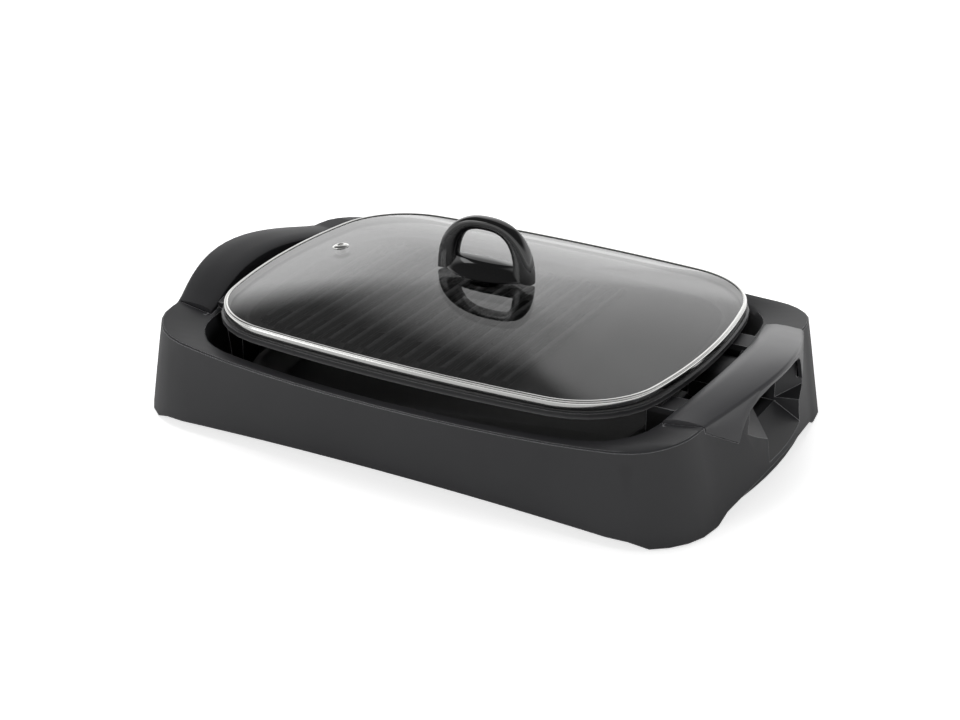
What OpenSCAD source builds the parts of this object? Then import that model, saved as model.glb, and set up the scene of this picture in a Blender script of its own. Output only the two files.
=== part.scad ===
// Electric indoor grill with a lift-off glass lid.
// Millimetres, +Z up, origin on the worktop under the middle of the base.
// +X is the end with the plug pocket, -Y is the front.

/* [Base] */
// Half length of the base along X, at the feet and without the end bulge
base_half_len = 248; // [246:0.5:250]
// Half depth of the base along Y, at the feet
base_half_depth = 164; // [162:0.5:165]
// Height of the rim at the middle of the long sides
rim_z = 72; // [70:0.5:73]
// How much higher the rim is at the two ends
rim_rise = 7.5; // [7:0.1:8.5]
// How far the end walls bulge at the rim
end_bulge = 21; // [19:0.5:22]
// Thickness of the moulded walls
wall = 3; // [2.5:0.1:3.5]
// Height of the dish floor, on which the tray stands
dish_floor_z = 17; // [15:0.5:20]

/* [Handles] */
// Half length of a handle along Y
handle_half_len = 98; // [94:0.5:99]
// How much the handle arches up in the middle
handle_arch = 13.3; // [10:0.1:15]
// Width of a handle at its two ends
handle_end_w = 33; // [31:0.5:34]

/* [Grill plate] */
// Half length of the plate flange
plate_half_len = 198; // [194:0.5:199]
// Half depth of the plate flange
plate_half_depth = 149; // [145:0.5:150]
// Height of the flange top
flange_z = 87.3; // [86:0.1:88]
// Height of the cooking floor
floor_z = 76; // [75:0.1:78]
// Number of ribs
rib_count = 14; // [10:1:14]
// Distance from rib to rib
rib_pitch = 17.3; // [16:0.1:17.5]
// Height of a rib over the floor
rib_h = 4.5; // [3:0.1:6]
// Length of a drain slot
slot_len = 34; // [24:1:36]

/* [Lid] */
// Height of the middle of the glass
dome_z = 113.5; // [110:0.5:115]
// Thickness of the glass
glass_t = 4; // [3:0.1:5]
// Height of the top of the knob
knob_top_z = 163.2; // [158:0.2:166]
// Half width of the knob loop
knob_half_w = 43; // [40:0.5:45]

/* [Terminals] */
// Distance between the two terminal pins
pin_spacing = 24; // [22:0.5:26]
// Radius of a terminal pin
pin_r = 2.4; // [2:0.1:2.6]
// Inner radius of the probe sleeve
probe_r = 2.8; // [2.5:0.1:3]

/* [Hidden] */
$fn = 40;

// Sit-down gap between pieces that come apart
gap = 0.1;

// Stations along each quarter of an outline: end side, corner, long side
END_STEPS = [0, 0.2, 0.38, 0.55, 0.7, 0.84, 0.96];
CORNER_STEPS = [0, 0.18, 0.34, 0.5, 0.66, 0.82, 1];
LONG_STEPS = [0.965, 0.87, 0.74, 0.56, 0.38, 0.19];
END_STEPS_COARSE = [0, 0.35, 0.7];
CORNER_STEPS_COARSE = [0, 0.25, 0.5, 0.75, 1];
LONG_STEPS_COARSE = [0.7, 0.35];

// ---------- outline: a rounded rectangle whose four sides bow outwards ----------

// Radius of an arc with half chord c and rise s
function bow_radius(c, s) = (c * c + s * s) / (2 * s);

// Centre of the corner arc that touches both bowed sides from inside.
// o = [half length, half depth, long side bow, end side bow, corner radius]
function corner_centre(o) =
    let (r1 = bow_radius(o[0], o[2]), r2 = bow_radius(o[1], o[3]),
         q1 = [0, o[1] - r1], q2 = [o[0] - r2, 0],
         d = norm(q2 - q1), m1 = r1 - o[4], m2 = r2 - o[4],
         u = (q2 - q1) / d, t = (m1 * m1 - m2 * m2 + d * d) / (2 * d),
         h = sqrt(max(0, m1 * m1 - t * t)), n = [-u[1], u[0]],
         p = q1 + u * t + n * h, q = q1 + u * t - n * h)
    p[0] + p[1] > q[0] + q[1] ? p : q;

// One quarter, from the middle of the +X side to just before the middle of the +Y side
function quarter(o, es, cs, ls) =
    let (r1 = bow_radius(o[0], o[2]), r2 = bow_radius(o[1], o[3]),
         q1 = [0, o[1] - r1], q2 = [o[0] - r2, 0], c = corner_centre(o),
         a2 = atan2(c[1] - q2[1], c[0] - q2[0]), a1 = atan2(c[1] - q1[1], c[0] - q1[0]))
    concat([for (t = es) q2 + r2 * [cos(a2 * t), sin(a2 * t)]],
           [for (t = cs) let (a = a2 + (a1 - a2) * t) c + o[4] * [cos(a), sin(a)]],
           [for (t = ls) let (a = 90 + (a1 - 90) * t) q1 + r1 * [cos(a), sin(a)]],
           [[0, o[1]]]);

// The whole outline, anticlockwise, without doubled points
function outline(o, es = END_STEPS, cs = CORNER_STEPS, ls = LONG_STEPS) =
    let (q = quarter(o, es, cs, ls), n = len(q))
    concat([for (i = [0:n - 1]) q[i]],
           [for (i = [n - 2:-1:0]) [-q[i][0], q[i][1]]],
           [for (i = [1:n - 1]) [-q[i][0], -q[i][1]]],
           [for (i = [n - 2:-1:1]) [q[i][0], -q[i][1]]]);
function coarse_outline(o) =
    outline(o, END_STEPS_COARSE, CORNER_STEPS_COARSE, LONG_STEPS_COARSE);

// An outline at one height
function level(pts, z) = [for (p = pts) [p[0], p[1], z]];

// Mix of two outline descriptions, and an outline grown outwards by g
function mix(a, b, t) = a + (b - a) * t;
function grown(o, g) = [o[0] + g, o[1] + g, o[2], o[3], max(3, o[4] + g)];

// Closed solid through a stack of rings, with flat ends; rings go from top to bottom
// on the outside and n is the number of points in each
module loft(rings) {
    n = len(rings[0]);
    m = len(rings);
    side = [for (k = [0:m - 2], i = [0:n - 1])
            let (j = (i + 1) % n, a = k * n + i, b = k * n + j, c = (k + 1) * n + j,
                 d = (k + 1) * n + i)
            each [[a, b, c], [a, c, d]]];
    top = [[for (i = [n - 1:-1:0]) i]];
    bottom = [[for (i = [0:n - 1]) (m - 1) * n + i]];
    polyhedron(points = [for (r = rings) each r], faces = concat(top, side, bottom));
}

// Closed ring through a loop of rings: the last joins the first
module loop_loft(rings) {
    n = len(rings[0]);
    m = len(rings);
    side = [for (k = [0:m - 1], i = [0:n - 1])
            let (j = (i + 1) % n, l = (k + 1) % m)
            each [[k * n + i, l * n + j, k * n + j], [k * n + i, l * n + i, l * n + j]]];
    polyhedron(points = [for (r = rings) each r], faces = side);
}

// ---------- base housing ----------

RIM = [234.5, 173, 26, 6, 51.5];
FOOT = [base_half_len, base_half_depth, 4, 1, 62];
OPENING = [203.5, 157.5, 20, 13, 52];
DISH = [190, 144, 12, 8, 54];
foot_bulge = 8;
foot_z = 1.5;
arch_low = 6.5;
arch_high = 13;
end_arch_high = 15;

// Share of the end bulge at a place along Y
function bulge_at(y) = pow(max(0, 1 - pow(y / handle_half_len, 2)), 1.2);
function bulged(pts, h) = [for (p = pts)
    [p[0] + (abs(p[0]) > base_half_len / 2 ? sign(p[0]) * h * bulge_at(p[1]) : 0), p[1]]];

// Height of the rim, which rises towards the ends
function rim_at(x) = rim_z + rim_rise * pow(min(1, abs(x) / RIM[0]), 6);

// How strongly the rim's inner edge rolls down into the dish: most along the long sides
function roll_at(x) = 1 + 2.4 * (1 - pow(min(1, abs(x) / 190), 2));

// X of an outline's end side at a place along Y
function side_x(o, y) = let (r = bow_radius(o[1], o[3])) o[0] - r + sqrt(r * r - y * y);

// Outline of the outer wall at a share of the way from rim (0) to foot (1)
function skin(t, inset) =
    bulged(outline(grown(mix(RIM, FOOT, t), -inset)), end_bulge + (foot_bulge - end_bulge) * t);
function skin_level(t, inset) = [for (p = skin(t, inset)) [p[0], p[1], rim_at(p[0]) * (1 - t)]];

// Height of the bottom edge: down at the four corner feet, arched between them
function edge_z(p) =
    let (x = abs(p[0]), y = abs(p[1]), on_end = x > base_half_len - 25 && y < 100,
         u = on_end ? y / 90 : x / 207, high = on_end ? end_arch_high : arch_high)
    u > 1 ? foot_z : arch_low + (high - arch_low) * (1 - u * u);
function foot_ring(inset) = [for (p = skin(1, inset)) [p[0], p[1], edge_z(p)]];
function rim_ring(o, drop, roll = 0) =
    [for (p = outline(o)) [p[0], p[1], rim_at(p[0]) - drop - roll * roll_at(p[0])]];

module housing_shell() {
    loft([level(outline(DISH), dish_floor_z),
          level(outline(grown(DISH, 3)), dish_floor_z + 3),
          rim_ring(grown(OPENING, -2.2), 5, 1.7),
          rim_ring(grown(OPENING, -0.8), 0.5, 1.5),
          rim_ring(grown(OPENING, 1.4), 0, 0.8),
          rim_ring(grown(RIM, -1.2), 0),
          skin_level(0.015, 0),
          skin_level(0.25, 0),
          skin_level(0.6, 0),
          foot_ring(0),
          foot_ring(wall),
          skin_level(0.6, wall),
          skin_level(0.25, wall),
          rim_ring(grown(RIM, -wall - 1.2), wall),
          rim_ring(grown(OPENING, 3), wall, 1),
          rim_ring(grown(OPENING, 1), wall + 4, 1.7),
          level(outline(grown(DISH, 3 + wall)), dish_floor_z),
          level(outline(grown(DISH, 1)), dish_floor_z - wall)]);
}

// X of the outer wall on the +X end
function wall_x(y, z) =
    let (t = 1 - min(1, z / rim_at(RIM[0])))
    side_x(mix(RIM, FOOT, t), y) + (end_bulge + (foot_bulge - end_bulge) * t) * bulge_at(y);

// Solid moulded block behind an end wall, before its pockets and cores are cut
BLOCK_Y = [-103, -81, -61, -40, -20, 0, 20, 40, 61, 81, 103];
BLOCK_Z = [8, 30, 57, 75];
block_back_x = 202.5;
module end_block() {
    ny = len(BLOCK_Y);
    nz = len(BLOCK_Z);
    front = [for (y = BLOCK_Y, z = BLOCK_Z) [wall_x(y, z) - wall / 2, y, z]];
    back = [for (y = BLOCK_Y, z = BLOCK_Z) [block_back_x, y, z]];
    nf = ny * nz;
    grid = [for (i = [0:ny - 2], k = [0:nz - 2])
            let (a = i * nz + k, b = a + nz)
            each [[a, a + 1, b + 1], [a, b + 1, b]]];
    ends = [for (k = [0:nz - 2], f = [0, 1])
            let (a = f * (ny - 1) * nz + k, q = [a, nf + a, nf + a + 1, a + 1])
            each (f == 0 ? [[q[0], q[1], q[2]], [q[0], q[2], q[3]]]
                         : [[q[0], q[2], q[1]], [q[0], q[3], q[2]]])];
    rims = [for (i = [0:ny - 2], f = [0, 1])
            let (a = i * nz + f * (nz - 1), b = a + nz)
            each (f == 0 ? [[a, b, nf + b], [a, nf + b, nf + a]]
                         : [[a, nf + b, b], [a, nf + a, nf + b]])];
    polyhedron(points = concat(front, back),
               faces = concat(grid, [for (t = grid) [nf + t[0], nf + t[2], nf + t[1]]],
                              ends, rims));
}

// Pocket that a hand or plug goes into: a funnel from the mouth in the wall to a
// smaller opening inside, open upwards. Points are [y, z], front side first
PLUG_MOUTH = [[-61, 57.5], [-20, 38], [-16, 23], [53, 23], [52, 42], [76, 57.5]];
PLUG_INNER = [[-5, 58], [0, 42], [1, 39], [46, 39], [46.5, 42], [49, 58]];
GRIP_MOUTH = [[-66, 57.5], [-40, 42], [-36, 40], [36, 40], [40, 42], [66, 57.5]];
GRIP_INNER = [[-40, 64], [-32, 54], [-28, 52], [28, 52], [32, 54], [40, 64]];
mouth_x = 252;
inner_x = 232;
grip_inner_x = 226;
pocket_top_z = 110;

module pocket(mouth, inner, x_in) {
    far = [for (i = [0:len(mouth) - 1]) inner[i] + (mouth[i] - inner[i]) * 1.6];
    x_far = x_in + (mouth_x - x_in) * 1.6;
    near_pts = concat(inner, [[inner[5][0], pocket_top_z], [inner[0][0], pocket_top_z]]);
    far_pts = concat(far, [[far[5][0], pocket_top_z], [far[0][0], pocket_top_z]]);
    n = len(near_pts);
    polyhedron(points = concat([for (p = near_pts) [x_in, p[0], p[1]]],
                               [for (p = far_pts) [x_far, p[0], p[1]]]),
               faces = concat([[for (i = [0:n - 1]) i]],
                              [for (i = [0:n - 1]) let (j = (i + 1) % n)
                               each [[i, n + i, n + j], [i, n + j, j]]],
                              [[for (i = [n - 1:-1:0]) n + i]]));
}

// Closed solid through equal sections that follow one another along Y
module sweep(secs) {
    n = len(secs[0]);
    m = len(secs);
    side = [for (k = [0:m - 2], i = [0:n - 1]) let (j = (i + 1) % n)
            each [[k * n + i, k * n + j, (k + 1) * n + j],
                  [k * n + i, (k + 1) * n + j, (k + 1) * n + i]]];
    polyhedron(points = [for (s = secs) each s],
               faces = concat([[for (i = [n - 1:-1:0]) i]], side,
                              [[for (i = [0:n - 1]) (m - 1) * n + i]]));
}

// Space that a handle drops into, a little larger than the handle all round
seat_gap = 0.3;
seat_end_gap = 0.7;
function seat_section(y, at) =
    let (xi = handle_in_x(at) - seat_gap, zl = handle_in_z(at) - lip_at(at) - seat_gap,
         zs = skirt_low(at), xs = wall_x(at, zs) - 4.5)
    [[xi, y, zl], [xs, y, zl], [xs, y, zs - seat_gap], [275, y, zs - seat_gap],
     [275, y, 120], [xi, y, 120]];
module handle_seat() {
    far = handle_half_len + seat_end_gap;
    sweep(concat([seat_section(-far, -handle_half_len)],
                 [for (y = HANDLE_Y) seat_section(y, y)],
                 [seat_section(far, handle_half_len)]));
}

SCREW_X = 219;
SCREW_Y = 84;
screw_seat_z = 60;
// Boss under each end of a handle, which the screw bites into
boss_r = 5;
boss_low_z = 70.6;
boss_h = 10;
module handle_screw_places() {
    for (y = [-SCREW_Y, SCREW_Y]) translate([SCREW_X, y, 0]) children();
}

// Hollows cored into a block from below: [first y, last y, depth along X, top z]
PLUG_CORES = [[-88, -52, 27, 50], [-48, -18, 20, 48], [-14, 15, 20, 35], [19, 48, 20, 35],
              [52, 88, 27, 50]];
GRIP_CORES = [[-88, -52, 27, 50], [-48, -2, 14, 48], [2, 48, 14, 48], [52, 88, 27, 50]];

// Everything that is added to the shell at an end
module end_solids(cores) {
    difference() {
        end_block();
        for (c = cores)
            translate([block_back_x + wall, c[0], 0]) cube([c[2], c[1] - c[0], c[3]]);
    }
    handle_screw_places() translate([0, 0, 20]) cylinder(r = 7, h = 45);
    // ledges that the two ends of the handle stand on
    for (y = [-103, 85]) translate([199, y, 55]) cube([25.5, 18, 18]);
}

module end_cuts() {
    handle_seat();
    handle_screw_places() {
        cylinder(r = 4.6, h = screw_seat_z);
        cylinder(r = 2.1, h = 90);
        translate([0, 0, boss_low_z - seat_gap]) cylinder(r = boss_r + 0.4, h = 20);
    }
}

// Window from the plug pocket into the dish, open upwards so the plate lifts out
module plug_window() {
    translate([196, 0, 39]) cube([38, 46.5, 60]);
}

// Gap in the rim between the brackets, where the handle's inner edge arches over it
module rim_gap() {
    translate([196, -60, 52]) cube([20, 106, 60]);
}

// Brackets on the dish wall that carry the plate: [side, place along it]
REST_END = [[1, -73], [1, 58], [-1, -73], [-1, 58]];
bracket_top_z = 79;
rest_top_z = 80.9;
module brackets() {
    for (p = REST_END)
        translate([p[0] > 0 ? 181 : -209, p[1] - 11, 20]) cube([28, 22, bracket_top_z - 20]);
}

FOOT_X = 205;
FOOT_Y = 119;
foot_r = 9;
foot_boss_z = 3;
foot_boss_h = 70.3;
foot_boss_top_r = 7;
module foot_places() {
    for (x = [-FOOT_X, FOOT_X], y = [-FOOT_Y, FOOT_Y]) translate([x, y, 0]) children();
}

module base_housing() {
    color("#3d3d3f") difference() {
        union() {
            housing_shell();
            end_solids(PLUG_CORES);
            mirror([1, 0, 0]) end_solids(GRIP_CORES);
            brackets();
            foot_places() translate([0, 0, foot_boss_z])
                cylinder(r1 = foot_r + 2.5, r2 = foot_boss_top_r, h = foot_boss_h);
        }
        end_cuts();
        mirror([1, 0, 0]) end_cuts();
        pocket(PLUG_MOUTH, PLUG_INNER, inner_x);
        mirror([1, 0, 0]) pocket(GRIP_MOUTH, GRIP_INNER, grip_inner_x);
        plug_window();
        rim_gap();
        mirror([1, 0, 0]) rim_gap();
        foot_places() translate([0, 0, foot_boss_z - 1]) cylinder(r = 3.2, h = 9);
    }
}

// ---------- handles ----------

plate_t = 4;
HANDLE_END_X = side_x(RIM, handle_half_len) + 1;
HANDLE_END_Z = rim_at(HANDLE_END_X) + 0.5;
function handle_out_x(y) = side_x(RIM, y) + 1 + end_bulge * bulge_at(y);
function handle_out_z(y) = HANDLE_END_Z + handle_arch * bulge_at(y);
function handle_in_x(y) = HANDLE_END_X - handle_end_w + 15.5 * bulge_at(y);
function lip_at(y) = 4.2 + 4.8 * bulge_at(y);
function handle_in_z(y) = HANDLE_END_Z - 2.2 + (handle_arch + 0.4) * bulge_at(y);

// Lower edge of the outer skirt: follows the seat at the ends, then opens as an arch
SKIRT = [[0, 5.5], [24, 5.5], [40, 8], [53, 14], [60, 24], [64, 32], [handle_half_len, 5]];
function skirt_low(y) = handle_out_z(y) - lookup(abs(y), SKIRT);
HALF_HANDLE_Y = [12, 24, 32, 40, 46, 51, 56, 60, 64, 73, 82, 90, handle_half_len];
HANDLE_Y = concat([for (i = [12:-1:0]) -HALF_HANDLE_Y[i]], [0], HALF_HANDLE_Y);

function handle_section(y) =
    let (xo = handle_out_x(y), zo = handle_out_z(y), xi = handle_in_x(y),
         zi = handle_in_z(y), zs = skirt_low(y), zc = (zo + zi) / 2)
    [[wall_x(y, zs) + 0.6, y, zs], [xo + 0.6, y, zo - 2.2], [xo - 0.6, y, zo - 0.6],
     [xo - 2.4, y, zo], [xi + (xo - xi) * 0.6, y, zc + 1.5],
     [xi + (xo - xi) * 0.3, y, zc + 1.0], [xi + 1.6, y, zi], [xi, y, zi - 1.6],
     [xi, y, zi - lip_at(y)], [xi + 3, y, zi - lip_at(y)], [xi + 3.5, y, zi - plate_t],
     [xo - 4, y, zo - plate_t - 0.6], [wall_x(y, zs) - 2.4, y, zs]];

module handle_solid() {
    difference() {
        union() {
            sweep([for (y = HANDLE_Y) handle_section(y)]);
            handle_screw_places() translate([0, 0, boss_low_z]) cylinder(r = boss_r, h = boss_h);
        }
        handle_screw_places() cylinder(r = 1.7, h = 78);
    }
}
module right_handle() { color("#2b2b2d") handle_solid(); }
module left_handle() { color("#3a3a3c") mirror([1, 0, 0]) handle_solid(); }

module handle_screw_pair() {
    handle_screw_places() {
        translate([0, 0, screw_seat_z - 3]) cylinder(r = 4, h = 3);
        translate([0, 0, screw_seat_z - 1]) cylinder(r = 1.7, h = 17);
    }
}
module right_handle_screws() { color("silver") handle_screw_pair(); }
module left_handle_screws() { color("silver") mirror([1, 0, 0]) handle_screw_pair(); }

// ---------- feet and rests ----------

module foot(sx, sy) {
    color("#1c1c1c") translate([sx * FOOT_X, sy * FOOT_Y, 0]) {
        cylinder(r1 = foot_r - 0.6, r2 = foot_r, h = foot_boss_z);
        cylinder(r = 3, h = foot_boss_z + 6);
    }
}
module foot_front_left() { foot(-1, -1); }
module foot_front_right() { foot(1, -1); }
module foot_rear_left() { foot(-1, 1); }
module foot_rear_right() { foot(1, 1); }

module plate_rests() {
    t = rest_top_z - bracket_top_z;
    color("#5a3020") {
        for (p = REST_END)
            translate([p[0] > 0 ? 183 : -192, p[1] - 9, bracket_top_z]) cube([9, 18, t]);
    }
}

// ---------- drip tray ----------

TRAY = [158, 116, 10, 12, 30];
tray_z = dish_floor_z + gap;
tray_h = 24;
tray_t = 1.5;
module drip_tray() {
    color("#2a2a2b") loft([
        level(coarse_outline(grown(TRAY, -2)), tray_z + tray_t),
        level(coarse_outline(TRAY), tray_z + tray_t + 2),
        level(coarse_outline(grown(TRAY, 6)), tray_z + tray_h - 1),
        level(coarse_outline(grown(TRAY, 7.5)), tray_z + tray_h),
        level(coarse_outline(grown(TRAY, 12)), tray_z + tray_h),
        level(coarse_outline(grown(TRAY, 12)), tray_z + tray_h - tray_t),
        level(coarse_outline(grown(TRAY, 7.5)), tray_z + tray_h - tray_t),
        level(coarse_outline(grown(TRAY, 1.5)), tray_z + 2),
        level(coarse_outline(grown(TRAY, -1)), tray_z)]);
}

// ---------- grill plate ----------

FLANGE = [plate_half_len, plate_half_depth, 16, 22, 70];
POOL = [172, 118, 12, 19, 44];
flange_low_z = 81;
floor_t = 5;
first_rib_x = -152.6;
slot_w = 6.4;
slot_row_pitch = 57.5;
first_slot_y = -81;
slot_rows = 4;

function rib_x(i) = first_rib_x + i * rib_pitch;
// Half length of a rib: the outer ones end where the floor rounds its corner
function rib_half(x) = 109 - 12 * pow(x / 172, 2) - (abs(x) > 140 ? 7 : 0);

module pan() {
    loft([level(outline(POOL), floor_z),
          level(outline(grown(POOL, 3.5)), floor_z + 1.4),
          level(outline(grown(mix(POOL, FLANGE, 0.5), 1.5)), flange_z - 1.6),
          level(outline(grown(mix(POOL, FLANGE, 0.55), 3)), flange_z),
          level(outline(grown(FLANGE, -1.2)), flange_z),
          level(outline(FLANGE), flange_z - 1.2),
          level(outline(FLANGE), flange_low_z + 1),
          level(outline(grown(FLANGE, -1)), flange_low_z),
          level(outline(grown(FLANGE, -13)), flange_low_z),
          level(outline(grown(POOL, 5)), floor_z - floor_t + 1.5),
          level(outline(grown(POOL, 2)), floor_z - floor_t)]);
}

// One rib along Y with a rounded crest and ends that slope down to the floor
module rib(x) {
    h = rib_half(x);
    half = [[3.6, -0.5], [3.3, 0.6], [2.3, rib_h - 0.9], [1.3, rib_h - 0.15]];
    top = concat(half, [for (i = [3:-1:0]) [-half[i][0], half[i][1]]]);
    sweep([for (e = [[-h, 0.8], [5 - h, rib_h], [h - 5, rib_h], [h, 0.8]])
           [for (p = top) [x + p[0], e[0], floor_z + min(p[1], e[1])]]]);
}

module slot(x, y) {
    r = slot_w / 2;
    arc = [for (a = [-60:30:60]) [r * cos(a + 90), slot_len / 2 - r + r * sin(a + 90)]];
    translate([x, y, floor_z - 20])
        linear_extrude(30)
            polygon(concat([[r, slot_len / 2 - r]], arc, [[-r, slot_len / 2 - r]],
                           [[-r, r - slot_len / 2]], [for (p = arc) [-p[0], -p[1]]],
                           [[r, r - slot_len / 2]]));
}

// The heating element's run, drawn with any section in 2-D [across, up]
element_z = 65;
element_r = 4;
guard_y = 17;
end_x = 183;
near_bend = 14;
far_bend = 20;
front_y = -52;
rear_y = 63;
left_x = -158;
right_x = 118;
module straight(p, q) {
    d = q - p;
    translate([p[0], p[1], element_z]) rotate([0, 0, atan2(d[1], d[0])]) rotate([90, 0, 90])
        linear_extrude(norm(d)) children();
}
module bend(c, r, start) {
    translate([c[0], c[1], element_z]) rotate([0, 0, start])
        rotate_extrude(angle = 90) translate([r, 0]) children();
}
module element_run() {
    ya = guard_y - pin_spacing / 2;
    yb = guard_y + pin_spacing / 2;
    bx = right_x + near_bend;
    cx = right_x - near_bend;
    lx = left_x + far_bend;
    straight([end_x, yb], [bx, yb]) children();
    bend([bx, yb + near_bend], near_bend, 180) children();
    straight([right_x, yb + near_bend], [right_x, rear_y - near_bend]) children();
    bend([cx, rear_y - near_bend], near_bend, 0) children();
    straight([cx, rear_y], [lx, rear_y]) children();
    bend([lx, rear_y - far_bend], far_bend, 90) children();
    straight([left_x, rear_y - far_bend], [left_x, front_y + far_bend]) children();
    bend([lx, front_y + far_bend], far_bend, 180) children();
    straight([lx, front_y], [cx, front_y]) children();
    bend([cx, front_y + near_bend], near_bend, 270) children();
    straight([right_x, front_y + near_bend], [right_x, ya - near_bend]) children();
    bend([bx, ya - near_bend], near_bend, 90) children();
    straight([bx, ya], [end_x, ya]) children();
}

terminal_block_x = 160;
module grill_plate() {
    boss_w = 13;
    boss_top = floor_z - floor_t + 1 - element_z;
    color("#2e2e30") difference() {
        union() {
            pan();
            for (i = [0:rib_count - 1]) rib(rib_x(i));
            element_run() translate([-boss_w / 2, -1]) square([boss_w, boss_top + 1]);
            translate([terminal_block_x, guard_y - 29, element_z - 6])
                cube([end_x - terminal_block_x, 58, floor_z - floor_t + 1 - element_z + 6]);
        }
        for (i = [0:rib_count - 2], k = [0:slot_rows - 1])
            slot(rib_x(i) + rib_pitch / 2, first_slot_y + k * slot_row_pitch);
        element_run() circle(r = element_r + 0.1);
        element_run() translate([-element_r, -12]) square([2 * element_r, 12]);
        translate([terminal_block_x + 2, guard_y, element_z]) rotate([0, 90, 0])
            cylinder(r = sleeve_r, h = 40);
        for (s = [-1, 1]) translate([end_x - 8, guard_y + s * guard_screw_dy, guard_screw_z])
            rotate([0, 90, 0]) cylinder(r = 1.6, h = 20);
    }
}

module heating_element() { color("#6b6259") element_run() circle(r = element_r); }

// ---------- terminals ----------

sleeve_r = 4;
pin_tip_x = 211;
pin_shoulder_r = pin_r + 0.3;
pin_shoulder_x = 190;
sleeve_tip_x = 206;
guard_tip_x = 207;
guard_t = 1.5;
guard_half_w = 28;
guard_screw_dy = 23;
guard_screw_z = 62;
bead_r = 5.4;

module along_x(x0, dy, z) { translate([x0, guard_y + dy, z]) rotate([0, 90, 0]) children(); }

module terminal_pins() {
    color("#c9c4b8") for (s = [-1, 1]) {
        along_x(end_x, s * pin_spacing / 2, element_z) {
            cylinder(r = pin_shoulder_r, h = pin_shoulder_x - end_x);
            cylinder(r = pin_r, h = pin_tip_x - 2 - end_x);
        }
        along_x(pin_tip_x - 2, s * pin_spacing / 2, element_z) cylinder(r1 = pin_r, r2 = pin_r - 0.8, h = 2);
    }
}

module pin_insulators() {
    color("ivory") for (s = [-1, 1]) along_x(end_x, s * pin_spacing / 2, element_z)
        difference() {
            cylinder(r = bead_r, h = 6);
            translate([0, 0, -1]) cylinder(r = pin_shoulder_r, h = 8);
        }
}

module probe_sleeve() {
    color("#b9bcc0") along_x(terminal_block_x + 2, 0, element_z) difference() {
        cylinder(r = sleeve_r, h = sleeve_tip_x - terminal_block_x - 2);
        translate([0, 0, 2]) cylinder(r = probe_r, h = 60);
    }
}

// Arched hood over the pins; the back plate screws to the plate casting
function guard_outline(g) =
    let (w = guard_half_w - g, top = 76.5 - g, low = 56, shoulder = 69.5 - g / 2)
    concat([[w, low], [w, shoulder]],
           [for (i = [1:7]) let (u = cos(i * 22.5)) [w * u, shoulder + (top - shoulder) * (1 - u * u)]],
           [[-w, shoulder], [-w, low]]);
module guard_prism(g, x0, len) {
    translate([x0, guard_y, 0]) rotate([90, 0, 90]) linear_extrude(len) polygon(guard_outline(g));
}
module terminal_guard() {
    color("#4a4a4c") difference() {
        guard_prism(0, end_x, guard_tip_x - end_x);
        translate([0, 0, -1]) guard_prism(guard_t, end_x + guard_t, 40);
        for (s = [-1, 1]) {
            along_x(end_x - 1, s * pin_spacing / 2, element_z) cylinder(r = bead_r + 0.1, h = 4);
            along_x(end_x - 1, s * guard_screw_dy, guard_screw_z) cylinder(r = 1.8, h = 4);
        }
        along_x(end_x - 1, 0, element_z) cylinder(r = sleeve_r + 0.1, h = 4);
    }
}

module guard_screws() {
    color("silver") for (s = [-1, 1]) {
        along_x(end_x + guard_t, s * guard_screw_dy, guard_screw_z) cylinder(r = 3, h = 2.2);
        along_x(end_x - 7, s * guard_screw_dy, guard_screw_z) cylinder(r = 1.6, h = 8.6);
    }
}

// ---------- lid ----------

GLASS = [192.2, 141.6, 12.5, 24.4, 66.4];
glass_edge_z = 94.6;
dome_power = 2.2;
DOME_STEPS = [1, 0.93, 0.84, 0.7, 0.52, 0.32, 0.12];

function dome_at(t) = glass_edge_z + (dome_z - glass_edge_z) * (1 - pow(t, dome_power));
function glass_ring(t, drop) =
    [for (p = outline(GLASS)) [p[0] * t, p[1] * t, dome_at(t) - drop]];
vent_x = -150;
vent_y = 19;
vent_tilt = -9;
vent_z = dome_at(0.782) - glass_t / 2;
module at_vent() { translate([vent_x, vent_y, vent_z]) rotate([0, vent_tilt, 0]) children(); }

module lid_glass() {
    n = len(DOME_STEPS);
    color([0.35, 0.35, 0.36, 0.4]) difference() {
        loft(concat([for (i = [n - 1:-1:0]) glass_ring(DOME_STEPS[i], 0)],
                    [for (i = [0:n - 1]) glass_ring(DOME_STEPS[i], glass_t)]));
        translate([0, 0, 90]) cylinder(r = 4, h = 30);
        at_vent() translate([0, 0, -10]) cylinder(r = 4.1, h = 20);
    }
}

// Rolled steel band: [outward offset from the glass edge, height over the flange]
BAND = [[2.6, 0], [3.4, 1], [4.4, 1.2], [4.85, 2.2], [4.85, 4.8], [4.5, 6.2], [3.5, 7.2],
        [1.2, 7.9], [-2.2, 8.6], [-2.8, 8.2], [0.15, 7.5], [0.15, 3.1], [-2.8, 3],
        [-2.6, 2.2], [0.7, 0]];
band_z = flange_z + gap;
module lid_rim() {
    color("#c9cacc") loop_loft([for (p = BAND) level(outline(grown(GLASS, p[0])), band_z + p[1])]);
}

knob_z = 115;
knob_leg_w = 17.2;
loop_steps = 26;
section_steps = 14;
function squircle(a) = [sign(cos(a)) * pow(abs(cos(a)), 0.72), sign(sin(a)) * pow(abs(sin(a)), 0.72)];
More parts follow.
